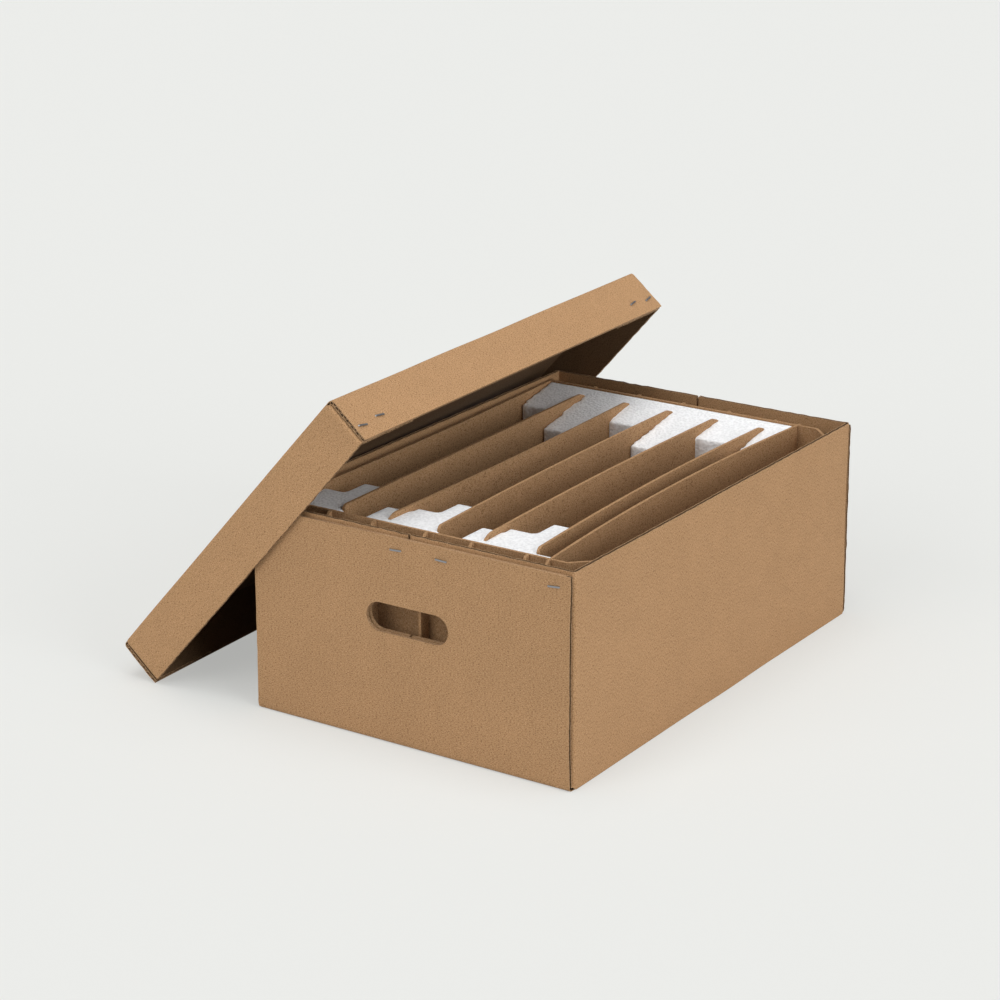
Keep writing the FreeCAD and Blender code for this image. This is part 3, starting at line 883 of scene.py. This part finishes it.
for name in sorted(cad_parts):
    if name.startswith("divider"):
        dress(name, divider_liner, SHEET_ROUNDING)
        print("dressed", name)
    if name.startswith("end_panel"):
        dress(name, panel_liner, SHEET_ROUNDING)
        print("dressed", name)

# %% [markdown]
# ## The foam combs
# The combs are cut from white closed-cell foam. Cut foam has soft corners and a skin of small
# cells. The frame's solids are remeshed finely and smoothed, and the finish roughens their skin.

# %% Foam finish
FOAM = (0.94, 0.945, 0.955, 1.0)
FOAM_CELLS = 330.0
FOAM_CLOUDS = 90.0
FOAM_BUMP = 0.9 * MM


def foam_material():
    material = bpy.data.materials.new("foam_cells")
    graph = Graph(material)
    place = graph.node("ShaderNodeTexCoord", output="Object")
    values = {"Vector": place, "Scale": FOAM_CELLS}
    cells = graph.node("ShaderNodeTexVoronoi", {}, values, output="Distance")
    big = graph.noise(place, FOAM_CLOUDS, 3.0, 0.6)
    speck = graph.spread(cells, 0.0, 0.75)
    colour = graph.mix(speck * 0.7 + big * 0.2, shade(FOAM, 0.78), shade(FOAM, 1.04))
    finish_surface(graph, colour, cells * 0.2 + 0.6, cells * 0.9 + big * 0.6, FOAM_BUMP)
    return material


foam = foam_material()
print("foam cells:", FOAM_CELLS, "to the metre")

# %% Make the foam
FOAM_VOXEL = 2.4 * MM


def foam_piece(node, name):
    """A soft-cornered copy of a comb."""
    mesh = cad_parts[node].data.copy()
    piece = bpy.data.objects.new(name, mesh)
    bpy.context.scene.collection.objects.link(piece)
    mesh.materials.clear()
    mesh.materials.append(foam)
    edit = bmesh.new()
    edit.from_mesh(mesh)
    bmesh.ops.remove_doubles(edit, verts=edit.verts, dist=0.001 * MM)
    edit.to_mesh(mesh)
    edit.free()
    remesh = piece.modifiers.new("remesh", "REMESH")
    remesh.mode = "VOXEL"
    remesh.voxel_size = FOAM_VOXEL
    remesh.use_smooth_shade = True
    smooth = piece.modifiers.new("smooth", "SMOOTH")
    smooth.factor = 0.5
    smooth.iterations = 2
    bpy.context.view_layer.update()
    shape = bpy.data.meshes.new_from_object(piece.evaluated_get(bpy.context.evaluated_depsgraph_get()))
    piece.modifiers.clear()
    piece.data = shape
    shape.polygons.foreach_set("use_smooth", [True] * len(shape.polygons))
    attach(piece, "root")
    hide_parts(node)
    print(name, "faces", len(shape.polygons))


foam_piece("foam_front", "foam_comb_front")
foam_piece("foam_back", "foam_comb_back")

# %% [markdown]
# ## The staples
# Carton staples are flat galvanised wire. They are tiny here, so the frame's own shape is enough,
# with a dull metal that carries fine scratches.

# %% Finish the staples
WIRE_DARK = (0.20, 0.205, 0.215, 1.0)
WIRE_LIGHT = (0.44, 0.45, 0.47, 1.0)
WIRE_ROUNDING = 0.12 * MM
SCRATCH_SCALE = 1500.0


def wire_material():
    material = bpy.data.materials.new("galvanised_wire")
    graph = Graph(material)
    place = graph.node("ShaderNodeTexCoord", output="Object")
    scratch = graph.noise(place, SCRATCH_SCALE, 2.0, 0.6)
    colour = graph.mix(scratch, WIRE_DARK, WIRE_LIGHT)
    values = {"Height": scratch, "Strength": 0.4, "Distance": 0.1 * MM}
    normal = graph.node("ShaderNodeBump", {}, values)
    values = {"Base Color": colour, "Roughness": scratch * 0.2 + 0.32, "Normal": normal}
    values["Metallic"] = 1.0
    surface = graph.node("ShaderNodeBsdfPrincipled", {}, values)
    graph.node("ShaderNodeOutputMaterial", {}, {"Surface": surface})
    return material


wire = wire_material()
for name in ("body_staples_front", "body_staples_back", "lid_staples"):
    dress(name, wire, WIRE_ROUNDING)
    print("dressed", name)

# %% [markdown]
# ## Floor and light
# The photograph has a pale, even ground with hardly a shadow. Suns with wide discs from the front,
# the right and above give each face its own tone, and the world fills what they leave dark.
# Half of what the camera sees of the ground is plain backdrop, so the shadow stays but is faint.

# %% Floor
PALE = (0.775, 0.782, 0.762, 1.0)
BACKDROP = (0.830, 0.838, 0.815, 1.0)
EVENNESS = 0.5
FLOOR_REACH = 40.0


def make_floor():
    edit = bmesh.new()
    bmesh.ops.create_grid(edit, x_segments=1, y_segments=1, size=FLOOR_REACH)
    mesh = bpy.data.meshes.new("floor")
    edit.to_mesh(mesh)
    edit.free()
    floor = bpy.data.objects.new("floor", mesh)
    floor.location.z = tray_low.z
    bpy.context.scene.collection.objects.link(floor)
    material = bpy.data.materials.new("floor_paper")
    graph = Graph(material)
    seen = graph.node("ShaderNodeLightPath", output="Is Camera Ray")
    paper = graph.node("ShaderNodeBsdfDiffuse", {}, {"Color": PALE})
    even = graph.node("ShaderNodeEmission", {}, {"Color": BACKDROP, "Strength": 1.0})
    surface = graph.node("ShaderNodeMixShader", {}, {0: seen * EVENNESS, 1: paper, 2: even})
    graph.node("ShaderNodeOutputMaterial", {}, {"Surface": surface})
    mesh.materials.append(material)
    floor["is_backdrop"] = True


make_floor()
print("floor at", round(tray_low.z, 4), "m")

# %% Lights
SUNS = (  # name, azimuth, elevation, strength, disc
    ("front", -16, 27, 0.75, 40),
    ("front_high", -4, 46, 0.42, 45),
    ("right", 80, 18, 1.25, 40),
    ("right_high", 100, 50, 0.50, 45),
    ("overhead", 0, 88, 1.15, 40),
)
ROOM = 0.27


def make_sun(name, azimuth, elevation, strength, disc):
    """A sun that shines from the given side. Azimuth 0 is the front, and 90 the right."""
    data = bpy.data.lights.new(name, "SUN")
    data.energy = strength
    data.angle = math.radians(disc)
    sun = bpy.data.objects.new(name, data)
    turn, rise = math.radians(azimuth), math.radians(elevation)
    reach = math.cos(rise)
    source = Vector((math.sin(turn) * reach, -math.cos(turn) * reach, math.sin(rise)))
    sun.rotation_mode = "QUATERNION"
    sun.rotation_quaternion = source.to_track_quat("Z", "Y")
    bpy.context.scene.collection.objects.link(sun)


def make_world(strength):
    world = bpy.data.worlds.new("room")
    bpy.context.scene.world = world
    graph = Graph(world)
    fill = graph.node("ShaderNodeBackground", {}, {"Color": (1, 1, 1, 1), "Strength": strength})
    graph.node("ShaderNodeOutputWorld", {}, {"Surface": fill})


for sun in SUNS:
    make_sun(*sun)
make_world(ROOM)
print("suns:", [sun[0] for sun in SUNS])

# %% [markdown]
# ## Sizes
# The dressed model should keep the frame's size, so how far it lies inside the frame's box is printed.

# %% Print the sizes
low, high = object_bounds()
inside_by = [round((b - a) / MM, 2) for a, b in zip(cad_low, low)]
inside_by += [round((b - a) / MM, 2) for a, b in zip(high, cad_high)]
print("inside the CAD box by, mm:", inside_by)
